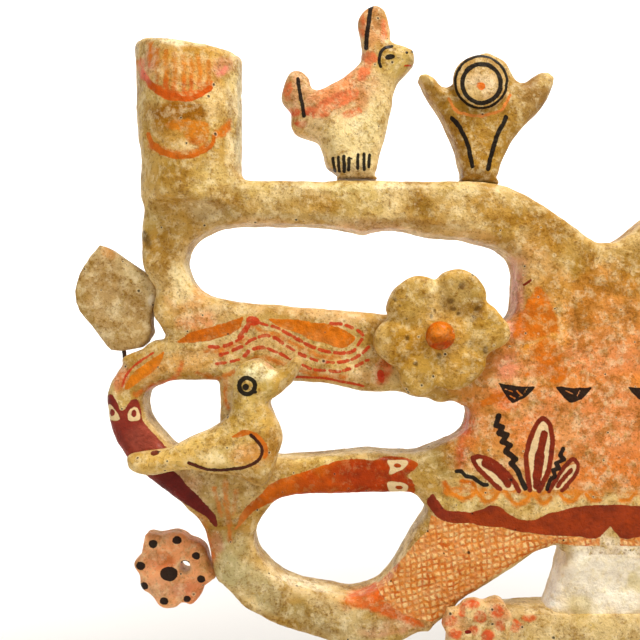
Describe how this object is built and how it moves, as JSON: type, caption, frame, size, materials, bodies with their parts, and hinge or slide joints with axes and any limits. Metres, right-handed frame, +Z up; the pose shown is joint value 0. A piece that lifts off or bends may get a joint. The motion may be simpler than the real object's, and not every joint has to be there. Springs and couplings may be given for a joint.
{
  "type": "clay tree of life candelabra",
  "caption": "Flat hand-built clay tree of life on a hollow bell base, with candle cups on its outer branches and applied birds, rabbits, winged figures, flowers, leaves and rosettes.",
  "frame": {"origin": "middle of the base's foot, on the surface it stands on", "axes": "+X across the width of the tree, along its branches; +Y from the painted front to the back; +Z up"},
  "size_m": [0.4734, 0.11, 0.3947],
  "materials": {
    "cream_slip": "hand-painted slip under gloss varnish",
    "painted_panel": "hand-painted slip under gloss varnish",
    "ochre_slip": "hand-painted slip under gloss varnish",
    "striped_branch": "hand-painted slip under gloss varnish",
    "maroon_curl": "hand-painted slip under gloss varnish",
    "orange_slip": "hand-painted slip under gloss varnish",
    "crosshatched_strap": "hand-painted slip under gloss varnish",
    "bird_slip": "hand-painted slip under gloss varnish",
    "rabbit_slip": "hand-painted slip under gloss varnish",
    "figure_disc": "hand-painted slip under gloss varnish",
    "flower_slip": "hand-painted slip under gloss varnish",
    "button_orange": "hand-painted slip under gloss varnish",
    "bare_clay": "unpainted slip, faintly glossy, pitted",
    "rosette_orange": "hand-painted slip under gloss varnish",
    "base_flower_slip": "hand-painted slip under gloss varnish",
    "iron_wire": "dull dark wire"
  },
  "bodies": {
    "root": {"base_bell": "cream_slip", "neck": "cream_slip", "trunk_panel": "painted_panel", "upper_branch_left": "ochre_slip", "upper_branch_right": "ochre_slip", "candle_cup_left": "ochre_slip", "candle_cup_right": "ochre_slip", "cup_stem_left": "ochre_slip", "cup_stem_right": "ochre_slip", "middle_branch_left": "striped_branch", "middle_branch_right": "striped_branch", "outer_curl_left": "maroon_curl", "outer_curl_right": "maroon_curl", "bird_perch_left": "cream_slip", "bird_perch_right": "cream_slip", "bird_strut_left": "orange_slip", "bird_strut_right": "orange_slip", "lower_branch_left": "orange_slip", "lower_branch_right": "orange_slip", "lower_loop_left": "cream_slip", "lower_loop_right": "cream_slip", "strap_left": "crosshatched_strap", "strap_right": "crosshatched_strap", "bird_left": "bird_slip", "bird_right": "bird_slip", "rabbit_left": "rabbit_slip", "rabbit_right": "rabbit_slip", "winged_figure_left": "ochre_slip", "winged_figure_right": "ochre_slip", "figure_head_left": "figure_disc", "figure_head_right": "figure_disc", "large_flower_left": "flower_slip", "large_flower_right": "flower_slip", "flower_button_left": "button_orange", "flower_button_right": "button_orange", "leaf_left": "bare_clay", "leaf_right": "bare_clay", "rosette_left": "rosette_orange", "rosette_right": "rosette_orange", "base_flower_left": "base_flower_slip", "base_flower_right": "base_flower_slip", "leaf_wires": "iron_wire"}
  },
  "joints": []
}
